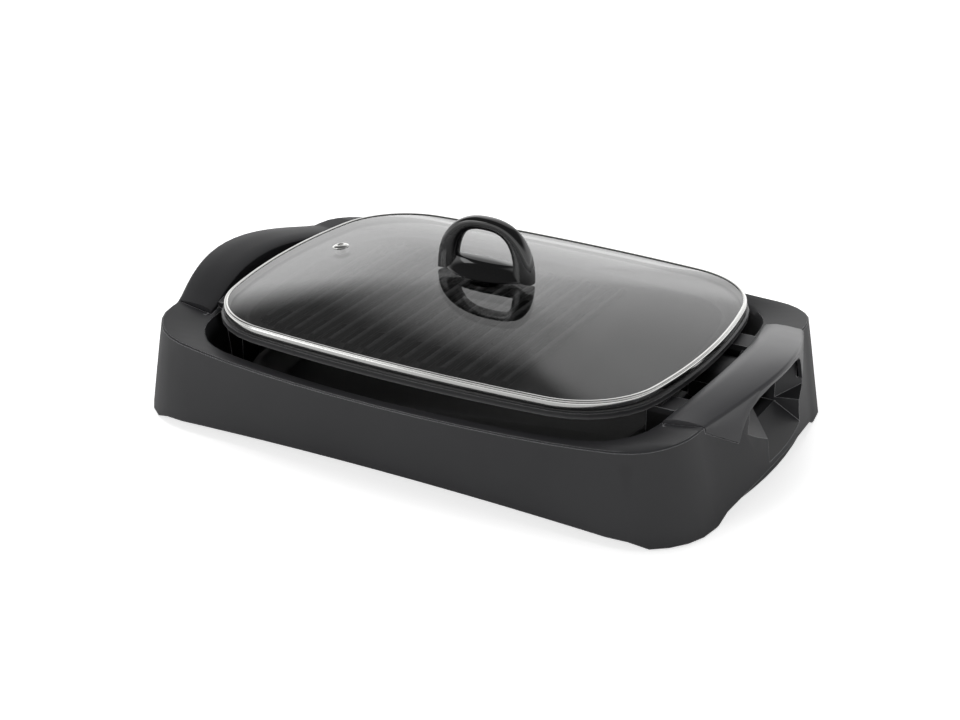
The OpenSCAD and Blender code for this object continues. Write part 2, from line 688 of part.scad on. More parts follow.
// Point on a squared-off half turn: p = 1 is round, less is squarer
function half_turn(a, p) = [sign(cos(a)) * pow(abs(cos(a)), p), pow(sin(a), p)];
function loop_section(f) =
    let (a = 180 * f, out = half_turn(a, 0.85), in = half_turn(a, 0.72),
         outer = [knob_half_w * out[0], knob_z + (knob_top_z - knob_z) * out[1]],
         inner = [(knob_half_w - knob_leg_w) * in[0],
                  knob_z + 2 + (knob_top_z - 10 - knob_z - 2) * in[1]],
         mid = (outer + inner) / 2, half = (outer - inner) / 2, deep = 6.6 - 0.6 * sin(a))
    [for (i = [0:section_steps - 1]) let (q = squircle(i * 360 / section_steps))
     [mid[0] + half[0] * q[0], deep * q[1], mid[1] + half[1] * q[0]]];

module knob_loop() {
    n = section_steps;
    secs = [for (k = [0:loop_steps]) loop_section(k / loop_steps)];
    side = [for (k = [0:loop_steps - 1], i = [0:n - 1]) let (j = (i + 1) % n)
            each [[k * n + i, (k + 1) * n + j, k * n + j],
                  [k * n + i, (k + 1) * n + i, (k + 1) * n + j]]];
    polyhedron(points = [for (s = secs) each s],
               faces = concat([[for (i = [0:n - 1]) i]], side,
                              [[for (i = [n - 1:-1:0]) loop_steps * n + i]]));
}

// Pointed oval foot of the knob: [half length, half width, height]
FOOT_LEVELS = [[36, 6.5, 12.6], [37, 9, 10.6], [38.5, 13.5, 6], [39.5, 17.8, 1.8], [38, 16.5, 0]];
function pointed_oval(l, w) =
    let (r = (l * l + w * w) / (2 * w), a = asin(l / r), m = 9)
    concat([for (i = [0:m - 1]) let (t = a - 2 * a * i / m) [r * sin(t), w - r + r * cos(t)]],
           [for (i = [0:m - 1]) let (t = a - 2 * a * i / m) [-r * sin(t), r - w - r * cos(t)]]);
module lid_knob() {
    color("#0d0d0e") difference() {
        union() {
            knob_loop();
            loft([for (f = FOOT_LEVELS) level(pointed_oval(f[0], f[1]), knob_z + f[2])]);
        }
        translate([0, 0, knob_z - 5]) cylinder(r = 2.6, h = 15);
        translate([-60, -40, knob_z - 20]) cube([120, 80, 20]);
    }
}

// Height of the small flat in the middle of the dome
hub_z = dome_at(DOME_STEPS[6]);
module knob_gasket() {
    color("#222222") translate([0, 0, hub_z]) difference() {
        cylinder(r = 13.5, h = knob_z - hub_z);
        translate([0, 0, -1]) cylinder(r = 3.2, h = 6);
    }
}
washer_t = 1.4;
washer_z = hub_z - glass_t - washer_t - gap;
module knob_washer() {
    color("#222222") translate([0, 0, washer_z]) difference() {
        cylinder(r = 11, h = washer_t);
        translate([0, 0, -1]) cylinder(r = 2.8, h = 6);
    }
}
module knob_screw() {
    color("silver") {
        translate([0, 0, washer_z - 3]) cylinder(r = 4.8, h = 3);
        translate([0, 0, washer_z - 1]) cylinder(r = 2.5, h = 14);
    }
}
module steam_vent() {
    color("#d5d6d8") at_vent() difference() {
        union() {
            cylinder(r = 4, h = glass_t + 1.6, center = true);
            translate([0, 0, glass_t / 2 + 0.3]) cylinder(r1 = 7, r2 = 5.6, h = 1.2);
            translate([0, 0, -glass_t / 2 - 1.3]) cylinder(r = 6.6, h = 1);
        }
        translate([0, 0, -10]) cylinder(r = 2.4, h = 20);
    }
}

base_housing();
left_handle();
right_handle();
left_handle_screws();
right_handle_screws();
foot_front_left();
foot_front_right();
foot_rear_left();
foot_rear_right();
plate_rests();
drip_tray();
grill_plate();
heating_element();
terminal_pins();
pin_insulators();
probe_sleeve();
terminal_guard();
guard_screws();
lid_glass();
lid_rim();
lid_knob();
knob_gasket();
knob_washer();
knob_screw();
steam_vent();
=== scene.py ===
# %% [markdown]
# # A tabletop electric grill with a glass lid
# The CAD model already has every piece in its place. This notebook gives each piece its finish,
# and models again the four pieces whose gloss would show the facets of a CAD mesh: the glass, its
# steel band, the knob and the steam eyelet.

# %% Load the CAD model
import math

import bmesh
import bpy
from mathutils import Matrix, Vector


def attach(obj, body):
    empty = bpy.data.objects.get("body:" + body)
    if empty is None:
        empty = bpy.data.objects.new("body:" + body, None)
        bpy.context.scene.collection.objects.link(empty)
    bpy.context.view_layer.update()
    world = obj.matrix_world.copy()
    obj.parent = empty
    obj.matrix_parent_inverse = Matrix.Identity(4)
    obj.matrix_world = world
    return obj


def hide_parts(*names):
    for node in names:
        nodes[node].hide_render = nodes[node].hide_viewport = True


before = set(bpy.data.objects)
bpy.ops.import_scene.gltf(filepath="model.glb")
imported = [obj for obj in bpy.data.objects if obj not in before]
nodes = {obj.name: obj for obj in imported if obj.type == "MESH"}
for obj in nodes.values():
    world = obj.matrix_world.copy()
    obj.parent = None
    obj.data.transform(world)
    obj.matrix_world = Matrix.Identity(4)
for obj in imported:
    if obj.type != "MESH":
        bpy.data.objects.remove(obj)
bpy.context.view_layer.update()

MM = 0.001

# %% [markdown]
# ## Small helpers
# Colours are picked as sRGB hex values, as in a paint program, but shaders work in linear light, so
# one function converts them. A second adds a shader node and plugs it in, which keeps each material
# down to a few readable lines. The rest draw what several finishes share: a two-colour ramp, a
# grain, a mix of two colours by a mask, a painted highlight along sharp edges, and the mask of a box.

# %% Colour and shader helpers
def linear(hex_colour):
    """sRGB hex, such as 3c3c3e, to the linear colour that a shader needs."""
    shares = [int(hex_colour[i:i + 2], 16) / 255 for i in (0, 2, 4)]
    return [s / 12.92 if s <= 0.04045 else ((s + 0.055) / 1.055) ** 2.4 for s in shares] + [1.0]


def add_node(tree, kind, settings=None, links=None):
    """Adds a node. settings are properties, or input sockets by name; links are input: output socket."""
    made = tree.nodes.new(kind)
    for name, value in (settings or {}).items():
        if isinstance(name, str) and hasattr(made, name):
            setattr(made, name, value)
        else:
            made.inputs[name].default_value = value
    for name, source in (links or {}).items():
        tree.links.new(source, made.inputs[name])
    return made


def new_finish(name, **sockets):
    """A Principled material; sockets are its inputs, with _ for a space. Returns material, tree, shader."""
    finish = bpy.data.materials.new(name)
    finish.use_nodes = True
    shader = finish.node_tree.nodes["Principled BSDF"]
    for socket, value in sockets.items():
        shader.inputs[socket.replace("_", " ")].default_value = value
    return finish, finish.node_tree, shader


def two_tone(tree, source, low, high, low_at=0.0, high_at=1.0):
    """Colour ramp from one hex colour to another between two positions."""
    ramp = add_node(tree, "ShaderNodeValToRGB", None, {"Fac": source})
    for stop, colour, position in zip(ramp.color_ramp.elements, (low, high), (low_at, high_at)):
        stop.color = linear(colour)
        stop.position = position
    return ramp.outputs["Color"]


def painted(tree, mask, under, over_hex):
    """Paints a hex colour over another colour where the mask is 1."""
    tone = add_node(tree, "ShaderNodeMixRGB", {"Color2": linear(over_hex)},
                    {"Fac": mask, "Color1": under})
    return tone.outputs["Color"]


def fade(tree, source, none, full):
    """Mask that rises from 0 where the source is none to 1 where it is full."""
    made = add_node(tree, "ShaderNodeMapRange", {"From Min": none, "From Max": full},
                    {"Value": source})
    return made.outputs["Result"]


def combined(tree, operation, first, second):
    """Two masks joined by a Math operation, such as MULTIPLY or MAXIMUM."""
    made = add_node(tree, "ShaderNodeMath", {"operation": operation}, {0: first, 1: second})
    return made.outputs["Value"]


def grain(tree, shader, size_mm, height_mm, detail=2.0, edge_mm=0.0):
    """Bump from noise on Object coordinates. size_mm is the distance from one bump to the next.
    With edge_mm, sharp edges catch the light as if they were rounded to that radius."""
    place = add_node(tree, "ShaderNodeTexCoord")
    noise = add_node(tree, "ShaderNodeTexNoise", {"Scale": 1 / (size_mm * MM), "Detail": detail},
                     {"Vector": place.outputs["Object"]})
    bump = add_node(tree, "ShaderNodeBump", {"Distance": height_mm * MM},
                    {"Height": noise.outputs["Fac"]})
    if edge_mm:
        rounded = add_node(tree, "ShaderNodeBevel", {"samples": 6, "Radius": edge_mm * MM})
        tree.links.new(rounded.outputs["Normal"], bump.inputs["Normal"])
    tree.links.new(bump.outputs["Normal"], shader.inputs["Normal"])
    return noise, place


EDGE_STARTS, EDGE_FULL = 0.97, 0.88  # cosine between the true and the rounded normal


def painted_edge_highlight(tree, shader, colour, highlight_hex, edge_mm):
    """Paints a light line along sharp edges. On the real object it is gloss on a radius too small
    to render, so here it goes into the colour. The mask is where the rounded normal of the Bevel
    node leaves the true one."""
    rounded = add_node(tree, "ShaderNodeBevel", {"samples": 6, "Radius": edge_mm * MM})
    true = add_node(tree, "ShaderNodeNewGeometry")
    alike = add_node(tree, "ShaderNodeVectorMath", {"operation": "DOT_PRODUCT"},
                     {0: rounded.outputs["Normal"], 1: true.outputs["Normal"]})
    share = fade(tree, alike.outputs["Value"], EDGE_STARTS, EDGE_FULL)
    # painted highlight: a pale colour along sharp edges stands in for gloss
    tree.links.new(painted(tree, share, colour, highlight_hex), shader.inputs["Base Color"])


def within(tree, spot, limits):
    """Mask of a box centred on the object's axis. limits are (full, none) in mm for the distances
    from the axis along X and Y and for the height."""
    mask = None
    for axis, (full, none) in zip("XYZ", limits):
        size = add_node(tree, "ShaderNodeMath", {"operation": "ABSOLUTE"}, {0: spot.outputs[axis]})
        part = fade(tree, size.outputs["Value"], none * MM, full * MM)
        mask = combined(tree, "MULTIPLY", mask, part) if mask else part
    return mask


print("helpers ready; a charcoal of 3c3c3e is", [round(c, 4) for c in linear("3c3c3e")])

# %% [markdown]
# ## The moulded plastics
# The housing is a heat-resistant moulding whose mould was spark-eroded: the skin has a fine grain,
# about half a millimetre from bump to bump, and spreads highlights into a soft satin. The handles
# come from a smoother mould, so they carry broad, clearer reflections. The photograph shows the
# dish round the plate as almost black. That is mostly deep shade, which this soft studio fills in,
# so two box masks on Object coordinates paint it darker. The moulding itself is one colour.

# %% Satin and semi-gloss mouldings
# painted shade: the dish round the plate and the ledges at its ends are painted near black where shade
# falls
DISH_BOX = ((196, 204), (150, 157), (60, 68))  # mm: all dark, not dark
LEDGE_BOX = ((224, 228), (94, 98), (73.5, 74.5))  # the ledges at the two ends of the dish


def satin_moulding():
    """Spark-eroded polyamide: the grain breaks the highlight up, so the eye reads a dry, soft black."""
    finish, tree, shader = new_finish("spark_eroded_polyamide", Roughness=0.5, IOR=1.5)
    _, place = grain(tree, shader, 0.55, 0.02, 3.0, edge_mm=0.7)
    cloud = add_node(tree, "ShaderNodeTexNoise", {"Scale": 14.0, "Detail": 2.0},
                     {"Vector": place.outputs["Object"]})
    charcoal = two_tone(tree, cloud.outputs["Fac"], "272729", "2c2c2e", 0.3, 0.7)
    spot = add_node(tree, "ShaderNodeSeparateXYZ", None, {"Vector": place.outputs["Object"]})
    painted_dish_shade = combined(tree, "MAXIMUM", within(tree, spot, DISH_BOX), within(tree, spot, LEDGE_BOX))
    # painted shade in the dish and on its ledges, and a painted highlight along sharp edges
    painted_edge_highlight(tree, shader, painted(tree, painted_dish_shade, charcoal, "060606"), "a0a0a2", 1.1)
    return finish


def handle_moulding(name, hex_colour, roughness, ior):
    """Smooth moulded polyamide: a faint ripple from the mould keeps its reflections from looking ruled."""
    finish, tree, shader = new_finish(name, Roughness=roughness, IOR=ior)
    _, place = grain(tree, shader, 0.8, 0.006, 2.0, edge_mm=0.6)
    smudge = add_node(tree, "ShaderNodeTexNoise", {"Scale": 30.0, "Detail": 3.0},
                      {"Vector": place.outputs["Object"]})
    rough = add_node(tree, "ShaderNodeMapRange", {"To Min": roughness - 0.04, "To Max": roughness + 0.05},
                     {"Value": smudge.outputs["Fac"]})
    tree.links.new(rough.outputs["Result"], shader.inputs["Roughness"])
    shader.inputs["Base Color"].default_value = linear(hex_colour)
    return finish


housing_finish = satin_moulding()
# Both handles are the same moulding. Colour, roughness and IOR differ only to match how light falls
# on each end in the photograph, and the left one's IOR is below that of the real plastic.
# painted shade in the darker left colour, painted highlight in the lighter right colour
shaded_left_handle_finish = handle_moulding("smooth_polyamide_shaded_left", "232325", 0.5, 1.36)
lit_right_handle_finish = handle_moulding("smooth_polyamide_lit_right", "404042", 0.3, 1.5)
print("plastics:", housing_finish.name, shaded_left_handle_finish.name, lit_right_handle_finish.name)

# %% [markdown]
# ## The non-stick casting, the enamelled tray and the rubber
# The plate is cast aluminium, grit blasted and sprayed with a dark non-stick coat. The blasting
# leaves a fine speckle under the coat that glitters a little in the light. In the photograph the
# crests of the ribs read as pale lines and the floor between them as dark. The coat is one colour,
# but soft light leaves the ribs flat, so masks by height and slope paint that contrast in. The tray
# is pressed steel under black enamel. Feet and seals are dull rubber.

# %% Coating, enamel, rubber
# heights in mm over the worktop, each as (none, full) for a mask
# masks for a painted highlight on the rib crests and painted shade on the flanks and valleys
RIB_CREST, RIB_VALLEY, BELOW_FLANGE = (79.4, 80.4), (78.5, 77.0), (84.0, 81.0)
RIBBED_ZONE = (76.0, 70.0)  # mm along X, where the ribs end and the flat griddle begins
STEEP = (0.9, 0.5)  # upward share of the normal: nearly flat, and steep


def non_stick_casting():
    """PTFE coat on blasted aluminium: pale mineral specks in a dark coat, grey sheen at low angles."""
    finish, tree, shader = new_finish("non_stick_cast_aluminium", Roughness=0.36, IOR=1.45)
    _, place = grain(tree, shader, 0.9, 0.012, 3.0, edge_mm=0.5)
    speck = add_node(tree, "ShaderNodeTexVoronoi", {"Scale": 1 / (0.8 * MM)},
                     {"Vector": place.outputs["Object"]})
    coat = two_tone(tree, speck.outputs["Distance"], "313132", "29292a", 0.1, 0.3)
    spot = add_node(tree, "ShaderNodeSeparateXYZ", None, {"Vector": place.outputs["Object"]})
    facing = add_node(tree, "ShaderNodeNewGeometry")
    slope = add_node(tree, "ShaderNodeSeparateXYZ", None, {"Vector": facing.outputs["True Normal"]})

    def by_place(axis, none_full):
        return fade(tree, spot.outputs[axis], *[limit * MM for limit in none_full])

    low = by_place("Z", BELOW_FLANGE)
    painted_flank_shade = combined(tree, "MULTIPLY", fade(tree, slope.outputs["Z"], *STEEP), low)
    crests = combined(tree, "MULTIPLY", by_place("Z", RIB_CREST), low)
    painted_valley_shade = combined(tree, "MULTIPLY", by_place("Z", RIB_VALLEY), by_place("X", RIBBED_ZONE))
    # painted shade on the steep flanks below the flange and in the valleys, painted highlight on the rib
    # crests and along sharp edges
    for mask, colour in ((painted_flank_shade, "060606"), (crests, "6c6c6d"), (painted_valley_shade, "0a0a0a")):
        coat = painted(tree, mask, coat, colour)
    painted_edge_highlight(tree, shader, coat, "8c8c8c", 0.8)
    return finish


def black_enamel():
    """Stove enamel on pressed steel: dark and smooth, with a slight orange-peel ripple."""
    # real enamel is near IOR 1.5 and glossier; less keeps it as dark as the gap in the photograph
    finish, tree, shader = new_finish("black_stove_enamel", Roughness=0.4, IOR=1.3)
    grain(tree, shader, 4.0, 0.03, 1.0)
    shader.inputs["Base Color"].default_value = linear("0c0c0d")
    return finish


DUSTY = 1.25  # how much paler rubber is where dust clings to it


def dull_rubber(name, hex_colour):
    """Moulded silicone rubber: almost no highlight, faint dusty variation."""
    finish, tree, shader = new_finish(name, Roughness=0.85, IOR=1.41)
    noise, _ = grain(tree, shader, 0.6, 0.02)
    ramp = add_node(tree, "ShaderNodeValToRGB", None, {"Fac": noise.outputs["Fac"]})
    ramp.color_ramp.elements[0].color = linear(hex_colour)
    ramp.color_ramp.elements[1].color = [DUSTY * c for c in linear(hex_colour)[:3]] + [1.0]
    tree.links.new(ramp.outputs["Color"], shader.inputs["Base Color"])
    return finish


casting_finish = non_stick_casting()
enamel_finish = black_enamel()
foot_finish = dull_rubber("foot_rubber", "1b1b1c")
silicone_finish = dull_rubber("silicone_seal", "222223")
print("coats and rubber:", casting_finish.name, enamel_finish.name, foot_finish.name)

# %% [markdown]
# ## The metals and the ceramic
# Polished stainless steel for the lid band and the steam eyelet, zinc-plated screws, nickel pins, a
# heat-tinted element tube and unglazed ceramic beads. A metal's colour is its reflectance, and its
# roughness does the rest.

# %% Metals and ceramic
def polished_stainless():
    """Bright-rolled stainless: mirror-like, with fine rolling lines along its length."""
    finish, tree, shader = new_finish("bright_rolled_stainless", Metallic=1.0, Roughness=0.12)
    place = add_node(tree, "ShaderNodeTexCoord")
    lines = add_node(tree, "ShaderNodeMapping", {"Scale": (60.0, 60.0, 2500.0)},
                     {"Vector": place.outputs["Object"]})
    noise = add_node(tree, "ShaderNodeTexNoise", {"Scale": 1.0, "Detail": 2.0},
                     {"Vector": lines.outputs["Vector"]})
    rough = add_node(tree, "ShaderNodeMapRange", {"To Min": 0.07, "To Max": 0.2},
                     {"Value": noise.outputs["Fac"]})
    tree.links.new(rough.outputs["Result"], shader.inputs["Roughness"])
    shader.inputs["Base Color"].default_value = linear("d6d6d4")
    return finish


def plated_metal(name, low_hex, high_hex, roughness, patch_mm):
    """Plated or heat-tinted metal: its colour drifts in patches, as plating and scale do."""
    finish, tree, shader = new_finish(name, Metallic=1.0, Roughness=roughness)
    noise, _ = grain(tree, shader, patch_mm, 0.01)
    drift = two_tone(tree, noise.outputs["Fac"], low_hex, high_hex)
    tree.links.new(drift, shader.inputs["Base Color"])
    return finish


def unglazed_ceramic():
    """Steatite bead: chalky off-white, so it stays bright but never shines."""
    finish, tree, shader = new_finish("unglazed_steatite", Roughness=0.8, IOR=1.55)
    noise, _ = grain(tree, shader, 0.5, 0.03)
    chalk = two_tone(tree, noise.outputs["Fac"], "d8d0bd", "efe9da")
    tree.links.new(chalk, shader.inputs["Base Color"])
    return finish


steel_finish = polished_stainless()
zinc_finish = plated_metal("zinc_plated_steel", "a9acb0", "c9cbcc", 0.35, 3.0)
nickel_finish = plated_metal("nickel_plated_pin", "b9b4a6", "d2cdbd", 0.18, 4.0)
element_finish = plated_metal("heat_tinted_steel", "5c4c40", "8a7d70", 0.45, 9.0)
ceramic_finish = unglazed_ceramic()
print("metals:", steel_finish.name, zinc_finish.name, nickel_finish.name, element_finish.name)

# %% [markdown]
# ## The smoky glass and the gloss knob
# The lid is tempered soda-lime glass with a grey tint. Its colour comes from light crossing the
# pane, and its brightness from what it mirrors. The knob is phenolic resin from a polished mould,
# so it is nearly a black mirror.

# %% Glass and phenolic resin
GLASS_IOR = 1.75  # soda-lime glass is 1.52; more makes the pane mirror as strongly as in the photograph


def smoky_glass():
    """Grey-tinted tempered glass: seen through it all is a little darker, and both of its faces
    mirror more the flatter they are seen. The Fresnel node turns its IOR over on a back face, as
    for light inside the glass, so the IOR is turned over there first: the inner face then mirrors
    as the outer one does, which is what a thin pane does."""
    finish, tree, shader = new_finish("grey_tempered_glass")
    tree.nodes.remove(shader)
    out = tree.nodes["Material Output"]
    seen = add_node(tree, "ShaderNodeBsdfTransparent", {"Color": linear("cfcfcf")})
    mirror = add_node(tree, "ShaderNodeBsdfGlossy", {"Color": (1, 1, 1, 1), "Roughness": 0.0})
    side = add_node(tree, "ShaderNodeNewGeometry")
    bend = add_node(tree, "ShaderNodeMapRange", {"To Min": GLASS_IOR, "To Max": 1 / GLASS_IOR},
                    {"Value": side.outputs["Backfacing"]})
    share = add_node(tree, "ShaderNodeFresnel", None, {"IOR": bend.outputs["Result"]})
    pane = add_node(tree, "ShaderNodeMixShader", None,
                    {0: share.outputs["Fac"], 1: seen.outputs["BSDF"], 2: mirror.outputs["BSDF"]})
    tree.links.new(pane.outputs["Shader"], out.inputs["Surface"])
    return finish


def phenolic_gloss():
    """Phenolic resin off a polished mould: deep black with sharp, small highlights."""
    finish, tree, shader = new_finish("gloss_phenolic_resin", Roughness=0.07, IOR=1.6)
    grain(tree, shader, 6.0, 0.008, 1.0)
    shader.inputs["Base Color"].default_value = linear("0c0c0d")
    return finish


glass_finish = smoky_glass()
knob_finish = phenolic_gloss()
print("glass and knob:", glass_finish.name, knob_finish.name)

# %% [markdown]
# ## The outline of the lid
# The lid is a rectangle whose four sides bow outwards and whose corners are round. It could be typed
# as a list of points, but it is really three arcs that touch: half a long side, a corner and half an
# end. Spinning one vertex round the middle of each arc in turn draws a quarter of it, and two
# mirrored copies close the loop. Rings drawn this way all have the same number of points, so they
# bridge cleanly.

# %% Arcs and rings
ARC_STEPS = (22, 18, 12)  # along half a long side, a corner and half an end
MERGE_MM = 0.01


def bow_radius(half_chord, rise):
    """Radius of the arc that rises by rise over a chord of twice half_chord."""
    return (half_chord ** 2 + rise ** 2) / (2 * rise)


def edges_of(verts):
    """The edges at some vertices, each once and in an order that is the same on every run."""
    return list(dict.fromkeys(edge for vert in verts for edge in vert.link_edges))


def spin_on(bm, start, middle, turn, steps):
    """Spins one vertex about a vertical axis and returns the last vertex of the new arc."""
    spun = bmesh.ops.spin(bm, geom=[start], cent=middle, axis=(0, 0, 1), angle=turn, steps=steps,
                          use_duplicate=False)
    return [v for v in spun["geom_last"] if isinstance(v, bmesh.types.BMVert)][0]


def mirrored_copy(bm, verts, flip):
    """Copies a chain of vertices and edges and flips the copy. Returns the vertices of both."""
    copied = bmesh.ops.duplicate(bm, geom=list(verts) + edges_of(verts))
    new_verts = [g for g in copied["geom"] if isinstance(g, bmesh.types.BMVert)]
    bmesh.ops.scale(bm, vec=flip, verts=new_verts)
    return list(verts) + new_verts


def outline_ring(bm, outline, grow, height, shrink=1.0):
    """Closed loop of edges in mm. outline holds half length, half depth, long bow, end bow, corner."""
    half_length, half_depth, long_bow, end_bow, corner = outline
    half_length, half_depth, corner = half_length + grow, half_depth + grow, corner + grow
    long_radius, end_radius = bow_radius(half_length, long_bow), bow_radius(half_depth, end_bow)
    long_middle = Vector((0, half_depth - long_radius, 0))
    end_middle = Vector((half_length - end_radius, 0, 0))
    between = end_middle - long_middle
    reach = long_radius - corner
    along = (reach ** 2 - (end_radius - corner) ** 2 + between.length_squared) / (2 * between.length)
    aside = math.sqrt(reach ** 2 - along ** 2)
    unit = between.normalized()
    corner_middle = long_middle + unit * along + Vector((unit.y, -unit.x, 0)) * aside
    long_turn = math.atan2(*(corner_middle - long_middle).xy)
    end_turn = math.atan2(*(corner_middle - end_middle).yx)
    before = set(bm.verts)
    vert = bm.verts.new((0, half_depth, 0))
    vert = spin_on(bm, vert, long_middle, -long_turn, ARC_STEPS[0])
    vert = spin_on(bm, vert, corner_middle, long_turn + end_turn - math.pi / 2, ARC_STEPS[1])
    spin_on(bm, vert, end_middle, -end_turn, ARC_STEPS[2])
    verts = [v for v in bm.verts if v not in before]
    verts = mirrored_copy(bm, mirrored_copy(bm, verts, (-1, 1, 1)), (1, -1, 1))
    bmesh.ops.remove_doubles(bm, verts=verts, dist=MERGE_MM)
    verts = [v for v in bm.verts if v not in before]
    bmesh.ops.scale(bm, vec=(shrink, shrink, 1), verts=verts)
    bmesh.ops.translate(bm, vec=(0, 0, height), verts=verts)
    return edges_of(verts)


def bridge_all(bm, rings):
    """Skins a stack of rings, each to the next."""
    for here, after in zip(rings, rings[1:]):
        bmesh.ops.bridge_loops(bm, edges=here + after)


def cap(bm, ring):
    """Closes one ring with a single face."""
    bmesh.ops.edgeloop_fill(bm, edges=ring)


def put_in_place(name, bm, finish, crease_degrees, stands_for):
    """Turns a mesh in mm into a piece of the lid: metres, outward normals, creases where it bends."""
    bmesh.ops.scale(bm, vec=(MM, MM, MM), verts=bm.verts)
    bmesh.ops.recalc_face_normals(bm, faces=bm.faces)
    for edge in bm.edges:
        edge.smooth = edge.calc_face_angle(math.pi) < math.radians(crease_degrees)
    for face in bm.faces:
        face.smooth = True
    mesh = bpy.data.meshes.new(name)
    bm.to_mesh(mesh)
    bm.free()
    mesh.materials.append(finish)
    piece = bpy.data.objects.new(name, mesh)
    bpy.context.scene.collection.objects.link(piece)
    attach(piece, "lid")
    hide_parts(stands_for)
    print(name, len(mesh.vertices), "vertices,", len(mesh.polygons), "faces")


GLASS_OUTLINE = (192.2, 141.6, 12.5, 24.4, 66.4)
test = bmesh.new()
ring = outline_ring(test, GLASS_OUTLINE, 0, 0)
print("glass outline:", len(ring), "edges, reaches",
      [round(max(v.co[i] for v in test.verts), 1) for i in (0, 1)], "mm")
test.free()

# %% [markdown]
# ## The pane
# Tempered lids are sagged over a mould while the glass is soft, so the pane is nearly flat in the
# middle and curves down towards its rim. Its rings are the outline, drawn smaller and higher step by
# step along that curve, and bridged. The underside repeats them 4 mm lower, and the two skins are
# bridged at the rim, so the pane has its real thickness.

# %% Glass pane
EDGE_Z, MIDDLE_Z, SAG_POWER, PANE_MM = 94.6, 113.5, 2.2, 4.0
UNDER_LIP = 2.2  # how far the pane runs on under the lip of the band
PANE_SHARES = [0.03, 0.1, 0.18, 0.27, 0.36, 0.45, 0.53, 0.61, 0.68, 0.75, 0.81, 0.86, 0.9, 0.94, 0.97,
               0.99, 1.0]


def pane_height(share):
    """Height of the pane's upper face at a share of the way from its middle to its rim."""
    return EDGE_Z + (MIDDLE_Z - EDGE_Z) * (1 - share ** SAG_POWER)


bm = bmesh.new()
upper = [outline_ring(bm, GLASS_OUTLINE, UNDER_LIP, pane_height(s), s) for s in PANE_SHARES]
lower = [outline_ring(bm, GLASS_OUTLINE, UNDER_LIP, pane_height(s) - PANE_MM, s)
         for s in PANE_SHARES]
bridge_all(bm, upper + lower[::-1])
cap(bm, upper[0])
cap(bm, lower[0])
put_in_place("glass_pane", bm, glass_finish, 40, "lid_glass")

# %% [markdown]
# ## The steel band
# A strip of bright stainless is rolled round the edge of the glass: a narrow bead on top, a fine
# groove under it, an upright face about 5 mm tall, and a small step at the foot that stays in
# shadow. The profile is a short list of offsets and heights over the plate, and each of its points
# becomes one ring. The groove parts the bright bead from the bright face.

# %% Steel band
BAND_Z = 87.4
BAND_PROFILE = [  # outward from the edge of the glass, upward from the plate flange
    (3.0, 0.0), (3.3, 0.1), (3.45, 0.5), (3.5, 1.0), (4.2, 1.1), (4.6, 1.35), (4.8, 1.9), (4.85, 3.6),
    (4.8, 5.5), (4.65, 5.95), (4.35, 6.15), (4.3, 6.4), (4.6, 6.65), (4.7, 7.05), (4.5, 7.5),
    (4.0, 7.8), (3.2, 7.9), (2.4, 7.8), (1.95, 7.5), (2.1, 7.25), (2.3, 7.1), (2.3, 3.1), (0.4, 3.0),
    (0.1, 2.75), (0.4, 2.5), (2.2, 2.3), (2.4, 0.4), (2.6, 0.0)]
bm = bmesh.new()
rings = [outline_ring(bm, GLASS_OUTLINE, out, BAND_Z + up) for out, up in BAND_PROFILE]
bridge_all(bm, rings + [rings[0]])
put_in_place("steel_band", bm, steel_finish, 60, "lid_rim")

# %% [markdown]
# ## The knob
# The knob is one moulding: a loop to put two fingers through, on a foot shaped like a pointed oval.
# The loop is a row of sections along an arch. Each starts as a circle, is squared a little so that
# the faces are broad and the edges round, and is set across the arch; then the row is bridged. The
# foot is a stack of pointed ovals, each drawn as two arcs, wide at the glass and hollowed towards
# its narrow top.

# %% Knob loop
KNOB_Z, KNOB_TOP, LOOP_HALF, LEG_WIDTH, CROWN = 115.0, 163.2, 43.0, 17.2, 10.0
LOOP_STEPS, SECTION_POINTS, SQUARENESS = 64, 32, 0.66
OUTER_POWER, INNER_POWER = 0.85, 0.72  # 1 is a round arch, less has squarer shoulders
SILL, HALF_DEPTH, CROWN_THINNER = 2.0, 6.6, 0.6  # opening's rise over the foot, depth of the loop


def squared(value, power=SQUARENESS):
    """A sine or cosine raised to a power below 1, with its sign kept: a circle becomes squarer."""
    return math.copysign(abs(value) ** power, value)


def arch_point(turn, power, half, low, high):
    """A point on an arch that stands from low to high; turn runs from 0 to pi."""
    return Vector((half * squared(math.cos(turn), power), 0,
                   low + (high - low) * squared(math.sin(turn), power)))


def loop_section(bm, share):
    """One closed section of the loop; share runs from 0 at the right leg to 1 at the left."""
    turn = math.pi * share
    outer = arch_point(turn, OUTER_POWER, LOOP_HALF, KNOB_Z, KNOB_TOP)
    inner = arch_point(turn, INNER_POWER, LOOP_HALF - LEG_WIDTH, KNOB_Z + SILL,
                       KNOB_TOP - CROWN)
    middle, across = (outer + inner) / 2, (outer - inner) / 2
    depth = HALF_DEPTH - CROWN_THINNER * math.sin(turn)
    made = bmesh.ops.create_circle(bm, segments=SECTION_POINTS, radius=1.0)
    for vert in made["verts"]:
        x, y, _ = vert.co
        vert.co = middle + across * squared(x) + Vector((0, depth * squared(y), 0))
    return edges_of(made["verts"])


bm = bmesh.new()
sections = [loop_section(bm, i / LOOP_STEPS) for i in range(LOOP_STEPS + 1)]
bridge_all(bm, sections)
cap(bm, sections[0])
cap(bm, sections[-1])
bmesh.ops.bisect_plane(bm, geom=bm.verts[:] + bm.edges[:] + bm.faces[:], plane_co=(0, 0, KNOB_Z),
                       plane_no=(0, 0, 1), clear_inner=True)
bmesh.ops.holes_fill(bm, edges=[e for e in bm.edges if e.is_boundary])
print("loop of", len(sections), "sections")

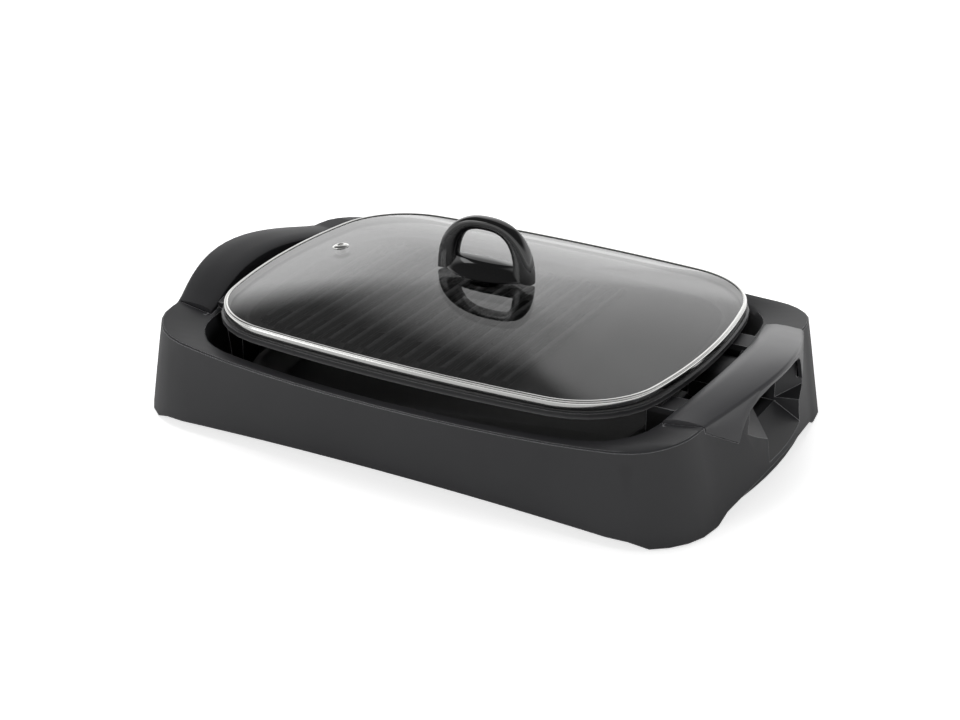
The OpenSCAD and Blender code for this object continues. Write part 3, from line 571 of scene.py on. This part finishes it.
# %% Knob foot
FOOT_PROFILE = [  # half length, half width, height over the gasket
    (35.6, 5.6, 12.6), (36.0, 6.3, 12.4), (36.3, 6.8, 11.9), (36.8, 7.6, 10.4), (37.4, 9.0, 8.4),
    (38.1, 11.0, 6.3), (38.8, 13.7, 4.3), (39.4, 16.4, 2.7), (39.6, 17.6, 1.9), (39.6, 18.0, 1.3),
    (39.2, 17.7, 0.6), (38.2, 16.7, 0.0)]
TIP_STEPS = 20


def pointed_oval(bm, half_length, half_width, height):
    """Two equal arcs that meet in points at the left and the right."""
    radius = bow_radius(half_length, half_width)
    sweep = 2 * math.asin(half_length / radius)
    before = set(bm.verts)
    left = bm.verts.new((-half_length, 0, height))
    right = spin_on(bm, left, (0, half_width - radius, height), -sweep, TIP_STEPS)
    spin_on(bm, right, (0, radius - half_width, height), -sweep, TIP_STEPS)
    verts = [v for v in bm.verts if v not in before]
    bmesh.ops.remove_doubles(bm, verts=verts, dist=MERGE_MM)
    return edges_of(v for v in bm.verts if v not in before)


ovals = [pointed_oval(bm, length, width, KNOB_Z + up) for length, width, up in FOOT_PROFILE]
bridge_all(bm, ovals)
cap(bm, ovals[0])
cap(bm, ovals[-1])
put_in_place("loop_knob", bm, knob_finish, 35, "lid_knob")

# %% [markdown]
# ## The steam eyelet
# A turned steel eyelet is pressed through a hole in the glass, with a rounded flange on top and a
# crimped one below. Its half profile is drawn once and spun through a full turn, then tilted to lie
# square on the sloping glass.

# %% Steam eyelet
EYELET_AT, EYELET_TILT = (-150.0, 19.0), math.radians(-9)
EYELET_SHARE = 0.782  # the eyelet's share of the way from the middle of the pane to its rim
EYELET_PROFILE = [  # radius, height from the middle of the glass
    (2.4, -3.3), (2.4, 3.1), (2.6, 3.5), (3.2, 3.8), (4.2, 3.85), (5.4, 3.6), (6.5, 3.0), (6.95, 2.6),
    (7.0, 2.3), (4.0, 2.3), (4.0, -2.3), (6.5, -2.3), (6.6, -2.8), (6.3, -3.3)]
bm = bmesh.new()
chain = [bm.verts.new((radius, 0, up)) for radius, up in EYELET_PROFILE]
edges = [bm.edges.new(pair) for pair in zip(chain, chain[1:] + chain[:1])]
bmesh.ops.spin(bm, geom=chain + edges, cent=(0, 0, 0), axis=(0, 0, 1), angle=math.tau, steps=40,
               use_merge=True, use_duplicate=False)
bmesh.ops.rotate(bm, cent=(0, 0, 0), matrix=Matrix.Rotation(EYELET_TILT, 3, "Y"), verts=bm.verts)
eyelet_z = pane_height(EYELET_SHARE) - PANE_MM / 2
bmesh.ops.translate(bm, vec=(*EYELET_AT, eyelet_z), verts=bm.verts)
put_in_place("steam_eyelet", bm, steel_finish, 40, "steam_vent")

# %% [markdown]
# ## Dressing the CAD pieces
# A CAD mesh is loose triangles. A small geometry-nodes modifier welds them and smooths only the
# edges that bend less than a set angle, so curved walls shade evenly and real creases stay crisp.
# It changes how the piece is shaded, and leaves its shape alone.

# %% Smooth shading up to an angle
WELD_MM = 0.02


def crease_group():
    """Node group that welds a mesh and marks the edges that bend less than Angle as smooth."""
    group = bpy.data.node_groups.new("smooth_below_angle", "GeometryNodeTree")
    group.interface.new_socket("Mesh", in_out="INPUT", socket_type="NodeSocketGeometry")
    group.interface.new_socket("Angle", in_out="INPUT", socket_type="NodeSocketFloat")
    group.interface.new_socket("Mesh", in_out="OUTPUT", socket_type="NodeSocketGeometry")
    given = add_node(group, "NodeGroupInput")
    welded = add_node(group, "GeometryNodeMergeByDistance", {"Distance": WELD_MM * MM},
                      {"Geometry": given.outputs["Mesh"]})
    faces = add_node(group, "GeometryNodeSetShadeSmooth", {"domain": "FACE", "Shade Smooth": True},
                     {"Geometry": welded.outputs["Geometry"]})
    bend = add_node(group, "GeometryNodeInputMeshEdgeAngle")
    soft = add_node(group, "FunctionNodeCompare", {"data_type": "FLOAT", "operation": "LESS_THAN"},
                    {"A": bend.outputs["Unsigned Angle"], "B": given.outputs["Angle"]})
    edges = add_node(group, "GeometryNodeSetShadeSmooth", {"domain": "EDGE"},
                     {"Geometry": faces.outputs["Geometry"], "Shade Smooth": soft.outputs["Result"]})
    add_node(group, "NodeGroupOutput", None, {"Mesh": edges.outputs["Geometry"]})
    return group


creases = crease_group()
FINISHES = {
    "base_housing": (housing_finish, 38), "left_handle": (shaded_left_handle_finish, 40),
    "right_handle": (lit_right_handle_finish, 40), "left_handle_screws": (zinc_finish, 30),
    "right_handle_screws": (zinc_finish, 30), "foot_front_left": (foot_finish, 30),
    "foot_front_right": (foot_finish, 30), "foot_rear_left": (foot_finish, 30),
    "foot_rear_right": (foot_finish, 30), "plate_rests": (silicone_finish, 30),
    "drip_tray": (enamel_finish, 50), "grill_plate": (casting_finish, 40),
    "heating_element": (element_finish, 40), "terminal_pins": (nickel_finish, 30),
    "pin_insulators": (ceramic_finish, 30), "probe_sleeve": (zinc_finish, 30),
    "terminal_guard": (housing_finish, 35), "guard_screws": (zinc_finish, 30),
    "lid_glass": (glass_finish, 30), "lid_rim": (steel_finish, 50), "lid_knob": (knob_finish, 40),
    "knob_gasket": (silicone_finish, 30), "knob_washer": (silicone_finish, 30),
    "knob_screw": (zinc_finish, 30), "steam_vent": (steel_finish, 30),
}
for name, (finish, degrees) in FINISHES.items():
    piece = nodes[name]
    piece.data.materials.clear()
    piece.data.materials.append(finish)
    shade = piece.modifiers.new("even_shading", "NODES")
    shade.node_group = creases
    shade[creases.interface.items_tree["Angle"].identifier] = math.radians(degrees)
print("finishes given to", len(FINISHES), "CAD pieces")

# %% [markdown]
# ## Camera, floor and light
# The camera stands where the photograph was taken from: 29 degrees round to the right, 25 degrees
# up and 1.6 m away. The white that the camera sees in the world and in the floor's glow doesn't
# light the grill. Far from the grill the floor glows for mirrored rays too, so that the glass shows
# a bright floor, and that does brighten every glossy face turned towards it.

# %% Camera
PHOTO_WIDTH = 960
azimuth, elevation, roll = math.radians(28.99), math.radians(24.87), math.radians(0.27)
distance, shift_x, shift_y, focal_px = 1.6366, -0.00462, 0.0356, 1989.22
back = Vector((math.sin(azimuth) * math.cos(elevation), -math.cos(azimuth) * math.cos(elevation),
               math.sin(elevation)))
right = Vector((math.cos(azimuth), math.sin(azimuth), 0))
up = back.cross(right)
right_rolled = math.cos(roll) * right + math.sin(roll) * up
up_rolled = -math.sin(roll) * right + math.cos(roll) * up
eye = back * distance + right * shift_x + up * shift_y
camera = bpy.data.objects.new("camera", bpy.data.cameras.new("camera"))
camera.data.lens = focal_px / PHOTO_WIDTH * camera.data.sensor_width
camera.matrix_world = Matrix((
    (right_rolled.x, up_rolled.x, back.x, eye.x), (right_rolled.y, up_rolled.y, back.y, eye.y),
    (right_rolled.z, up_rolled.z, back.z, eye.z), (0, 0, 0, 1)))
bpy.context.scene.collection.objects.link(camera)
bpy.context.scene.camera = camera
print("camera at", [round(c, 3) for c in eye], "lens", round(camera.data.lens, 1), "mm")

# %% Floor
FLOOR_HALF = 6.0
CAMERA_GLOW, MIRROR_GLOW = 0.7, 1.3  # emission for the camera, and for what mirrors the far floor
NEAR, FAR = 0.6, 2.0  # metres from the grill where the mirrored glow starts and is full
bm = bmesh.new()
bmesh.ops.create_grid(bm, x_segments=1, y_segments=1, size=FLOOR_HALF)
floor_mesh = bpy.data.meshes.new("floor")
bm.to_mesh(floor_mesh)
bm.free()
floor = bpy.data.objects.new("floor", floor_mesh)
bpy.context.scene.collection.objects.link(floor)
paper = bpy.data.materials.new("white_paper")
paper.use_nodes = True
tree = paper.node_tree
tree.nodes.remove(tree.nodes["Principled BSDF"])
ray = add_node(tree, "ShaderNodeLightPath")
matt = add_node(tree, "ShaderNodeBsdfDiffuse", {"Color": linear("e8e8e8")})
place = add_node(tree, "ShaderNodeTexCoord")
reach = add_node(tree, "ShaderNodeVectorMath", {"operation": "LENGTH"}, {0: place.outputs["Object"]})
far = add_node(tree, "ShaderNodeMapRange", {"From Min": NEAR, "From Max": FAR, "To Max": MIRROR_GLOW},
               {"Value": reach.outputs["Value"]})
mirrored = combined(tree, "MULTIPLY", far.outputs["Result"], ray.outputs["Is Glossy Ray"])
level = add_node(tree, "ShaderNodeMath", {"operation": "MULTIPLY_ADD", 1: CAMERA_GLOW},
                 {0: ray.outputs["Is Camera Ray"], 2: mirrored})
glow = add_node(tree, "ShaderNodeEmission", {"Color": (1, 1, 1, 1)}, {"Strength": level.outputs[0]})
both = add_node(tree, "ShaderNodeAddShader", None, {0: matt.outputs[0], 1: glow.outputs[0]})
tree.links.new(both.outputs[0], tree.nodes["Material Output"].inputs["Surface"])
floor.data.materials.append(paper)
print("floor laid,", 2 * FLOOR_HALF, "m square")

# %% [markdown]
# ## World and lamps
# The gloss of the glass and the knob comes from what stands round the grill. In the photograph that
# seems to be a bright band low down, a darker ceiling, and one soft glow behind; they were worked
# out from the brightness of the glass and are a guess. A ramp on the height and a lobe round one
# direction draw them. Two softboxes add the light from above and from the front left.

# %% World and lamps
BAND_TOP, CEILING_STARTS, CEILING = 0.22, 0.56, 0.1  # sines of elevation, and the ceiling's level
GLOW_EDGE, GLOW_CORE, GLOW_LEVEL = 0.92, 0.98, 0.5  # cosines from the middle of the glow
world = bpy.data.worlds.new("studio")
bpy.context.scene.world = world
world.use_nodes = True
tree = world.node_tree
tree.nodes.clear()
ray = add_node(tree, "ShaderNodeLightPath")
place = add_node(tree, "ShaderNodeTexCoord")
split = add_node(tree, "ShaderNodeSeparateXYZ", None, {"Vector": place.outputs["Generated"]})
height = add_node(tree, "ShaderNodeValToRGB", None, {"Fac": split.outputs["Z"]})
height.color_ramp.interpolation = "EASE"
height.color_ramp.elements[0].color = (1, 1, 1, 1)
height.color_ramp.elements[0].position = BAND_TOP
height.color_ramp.elements[1].color = (CEILING, CEILING, CEILING, 1)
height.color_ramp.elements[1].position = CEILING_STARTS
glow_way = Vector((-0.22, 0.80, 0.56)).normalized()
towards = add_node(tree, "ShaderNodeVectorMath", {"operation": "DOT_PRODUCT", 1: glow_way},
                   {0: place.outputs["Generated"]})
glow_share = add_node(tree, "ShaderNodeMapRange", {"interpolation_type": "SMOOTHSTEP",
                      "From Min": GLOW_EDGE, "From Max": GLOW_CORE, "To Max": GLOW_LEVEL},
                      {"Value": towards.outputs["Value"]})
sky = add_node(tree, "ShaderNodeMixRGB", {"blend_type": "ADD", "Fac": 1.0},
               {"Color1": height.outputs["Color"], "Color2": glow_share.outputs["Result"]})
soft_light = add_node(tree, "ShaderNodeBackground", {"Strength": 1.35},
                      {"Color": sky.outputs["Color"]})
white = add_node(tree, "ShaderNodeBackground", {"Color": (1, 1, 1, 1), "Strength": 1.0})
shown = add_node(tree, "ShaderNodeMixShader", None,
                 {0: ray.outputs["Is Camera Ray"], 1: soft_light.outputs[0], 2: white.outputs[0]})
add_node(tree, "ShaderNodeOutputWorld", None, {"Surface": shown.outputs[0]})


def softbox(name, place, target, size, watts):
    """A rectangular soft light at place, aimed at target."""
    lamp = bpy.data.lights.new(name, "AREA")
    lamp.shape = "RECTANGLE"
    lamp.size, lamp.size_y = size
    lamp.energy = watts
    held = bpy.data.objects.new(name, lamp)
    held.matrix_world = Matrix.Translation(place) @ (Vector(place) - Vector(target)).to_track_quat(
        "Z", "Y").to_matrix().to_4x4()
    bpy.context.scene.collection.objects.link(held)
    return held


GRILL_MIDDLE = (0, 0, 0.05)
overhead = softbox("overhead", (-0.3, 0.2, 1.8), GRILL_MIDDLE, (1.2, 0.8), 16)
overhead.visible_glossy = False  # it lights the grill but isn't mirrored in the glass or the knob
softbox("front_left", (-1.4, -1.6, 0.9), GRILL_MIDDLE, (1.0, 0.8), 6)
bpy.context.scene.view_settings.view_transform = "Standard"
print("studio lit with", len(bpy.data.lights), "softboxes")
